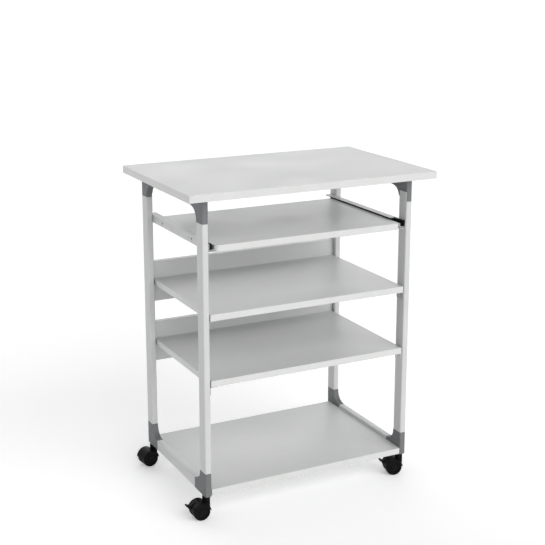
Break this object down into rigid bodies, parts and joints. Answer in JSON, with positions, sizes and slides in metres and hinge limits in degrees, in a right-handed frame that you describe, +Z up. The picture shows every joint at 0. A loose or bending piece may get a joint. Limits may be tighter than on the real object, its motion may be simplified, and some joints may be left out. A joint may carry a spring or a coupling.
{
  "type": "mobile printer stand",
  "caption": "Rolling office stand with a top board, a pull-out shelf, two middle shelves with rear panels and a bottom shelf on a tube frame with twin-wheel castors.",
  "frame": {"origin": "on the floor, under the middle of the top board", "axes": "+X to the right across the front, -Y out of the front where the shelf pulls out, +Z up"},
  "size_m": [0.75, 0.485, 0.918],
  "materials": {
    "laminate": "light grey melamine face, fine grain, satin",
    "coated_steel": "light grey powder coat, fine orange peel",
    "grey_plastic": "mid grey moulded plastic, fine spark texture",
    "black_plastic": "black moulded plastic, semi-matte",
    "black_wheel": "black hard nylon wheel, semi-matte",
    "zinc_steel": "bright zinc plated"
  },
  "bodies": {
    "frame": {"top_board": "laminate", "upper_shelf": "laminate", "lower_shelf": "laminate", "bottom_shelf": "laminate", "post_front_left": "coated_steel", "post_front_right": "coated_steel", "post_rear_left": "coated_steel", "post_rear_right": "coated_steel", "top_connector_front_left": "grey_plastic", "top_connector_front_right": "grey_plastic", "top_connector_rear_left": "grey_plastic", "top_connector_rear_right": "grey_plastic", "bottom_connector_front_left": "grey_plastic", "bottom_connector_front_right": "grey_plastic", "bottom_connector_rear_left": "grey_plastic", "bottom_connector_rear_right": "grey_plastic", "top_rail_left": "coated_steel", "bottom_rail_left": "coated_steel", "runner_left": "coated_steel", "glide_liner_left": "black_plastic", "front_stop_left": "black_plastic", "upper_shelf_bracket_left": "zinc_steel", "lower_shelf_bracket_left": "zinc_steel", "top_rail_right": "coated_steel", "bottom_rail_right": "coated_steel", "runner_right": "coated_steel", "glide_liner_right": "black_plastic", "front_stop_right": "black_plastic", "upper_shelf_bracket_right": "zinc_steel", "lower_shelf_bracket_right": "zinc_steel", "upper_rear_panel": "coated_steel", "lower_rear_panel": "coated_steel", "castor_stem_front_left": "zinc_steel", "castor_stem_front_right": "zinc_steel", "castor_stem_rear_left": "zinc_steel", "castor_stem_rear_right": "zinc_steel"},
    "pull_out": {"pull_out_shelf": "laminate", "shelf_rail_left": "coated_steel", "shelf_rail_right": "coated_steel", "rail_slider_left": "black_plastic", "rail_slider_right": "black_plastic"},
    "castor_front_left": {"castor_housing_front_left": "black_plastic", "castor_axle_front_left": "zinc_steel"},
    "wheel_front_left_a": {"castor_wheel_front_left_a": "black_wheel"},
    "wheel_front_left_b": {"castor_wheel_front_left_b": "black_wheel"},
    "brake_front_left": {"brake_lever_front_left": "black_plastic"},
    "castor_front_right": {"castor_housing_front_right": "black_plastic", "castor_axle_front_right": "zinc_steel"},
    "wheel_front_right_a": {"castor_wheel_front_right_a": "black_wheel"},
    "wheel_front_right_b": {"castor_wheel_front_right_b": "black_wheel"},
    "brake_front_right": {"brake_lever_front_right": "black_plastic"},
    "castor_rear_left": {"castor_housing_rear_left": "black_plastic", "castor_axle_rear_left": "zinc_steel"},
    "wheel_rear_left_a": {"castor_wheel_rear_left_a": "black_wheel"},
    "wheel_rear_left_b": {"castor_wheel_rear_left_b": "black_wheel"},
    "castor_rear_right": {"castor_housing_rear_right": "black_plastic", "castor_axle_rear_right": "zinc_steel"},
    "wheel_rear_right_a": {"castor_wheel_rear_right_a": "black_wheel"},
    "wheel_rear_right_b": {"castor_wheel_rear_right_b": "black_wheel"}
  },
  "joints": [
    {"name": "shelf_slide", "type": "slide", "parent": "frame", "child": "pull_out", "axis": [0, -1, 0], "range_m": [0, 0.3]},
    {"name": "swivel_front_left", "type": "hinge", "parent": "frame", "child": "castor_front_left", "pos_m": [-0.3135, -0.1805, 0.055], "axis": [0, 0, 1], "continuous": true},
    {"name": "wheel_spin_front_left_a", "type": "hinge", "parent": "castor_front_left", "child": "wheel_front_left_a", "pos_m": [-0.3335, -0.1805, 0.024], "axis": [0, 1, 0], "continuous": true},
    {"name": "wheel_spin_front_left_b", "type": "hinge", "parent": "castor_front_left", "child": "wheel_front_left_b", "pos_m": [-0.3335, -0.1805, 0.024], "axis": [0, 1, 0], "continuous": true},
    {"name": "brake_press_front_left", "type": "hinge", "parent": "castor_front_left", "child": "brake_front_left", "pos_m": [-0.3495, -0.1805, 0.032], "axis": [0, -1, 0], "range_deg": [0, 18]},
    {"name": "swivel_front_right", "type": "hinge", "parent": "frame", "child": "castor_front_right", "pos_m": [0.3135, -0.1805, 0.055], "axis": [0, 0, 1], "continuous": true},
    {"name": "wheel_spin_front_right_a", "type": "hinge", "parent": "castor_front_right", "child": "wheel_front_right_a", "pos_m": [0.29409, -0.17566, 0.024], "axis": [0.2419, 0.9703, 0], "continuous": true},
    {"name": "wheel_spin_front_right_b", "type": "hinge", "parent": "castor_front_right", "child": "wheel_front_right_b", "pos_m": [0.29409, -0.17566, 0.024], "axis": [0.2419, 0.9703, 0], "continuous": true},
    {"name": "brake_press_front_right", "type": "hinge", "parent": "castor_front_right", "child": "brake_front_right", "pos_m": [0.27857, -0.17179, 0.032], "axis": [-0.2419, -0.9703, 0], "range_deg": [0, 18]},
    {"name": "swivel_rear_left", "type": "hinge", "parent": "frame", "child": "castor_rear_left", "pos_m": [-0.3135, 0.2125, 0.055], "axis": [0, 0, 1], "continuous": true},
    {"name": "wheel_spin_rear_left_a", "type": "hinge", "parent": "castor_rear_left", "child": "wheel_rear_left_a", "pos_m": [-0.33331, 0.20972, 0.024], "axis": [-0.1392, 0.9903, 0], "continuous": true},
    {"name": "wheel_spin_rear_left_b", "type": "hinge", "parent": "castor_rear_left", "child": "wheel_rear_left_b", "pos_m": [-0.33331, 0.20972, 0.024], "axis": [-0.1392, 0.9903, 0], "continuous": true},
    {"name": "swivel_rear_right", "type": "hinge", "parent": "frame", "child": "castor_rear_right", "pos_m": [0.3135, 0.2125, 0.055], "axis": [0, 0, 1], "continuous": true},
    {"name": "wheel_spin_rear_right_a", "type": "hinge", "parent": "castor_rear_right", "child": "wheel_rear_right_a", "pos_m": [0.29471, 0.20566, 0.024], "axis": [-0.342, 0.9397, 0], "continuous": true},
    {"name": "wheel_spin_rear_right_b", "type": "hinge", "parent": "castor_rear_right", "child": "wheel_rear_right_b", "pos_m": [0.29471, 0.20566, 0.024], "axis": [-0.342, 0.9397, 0], "continuous": true}
  ]
}
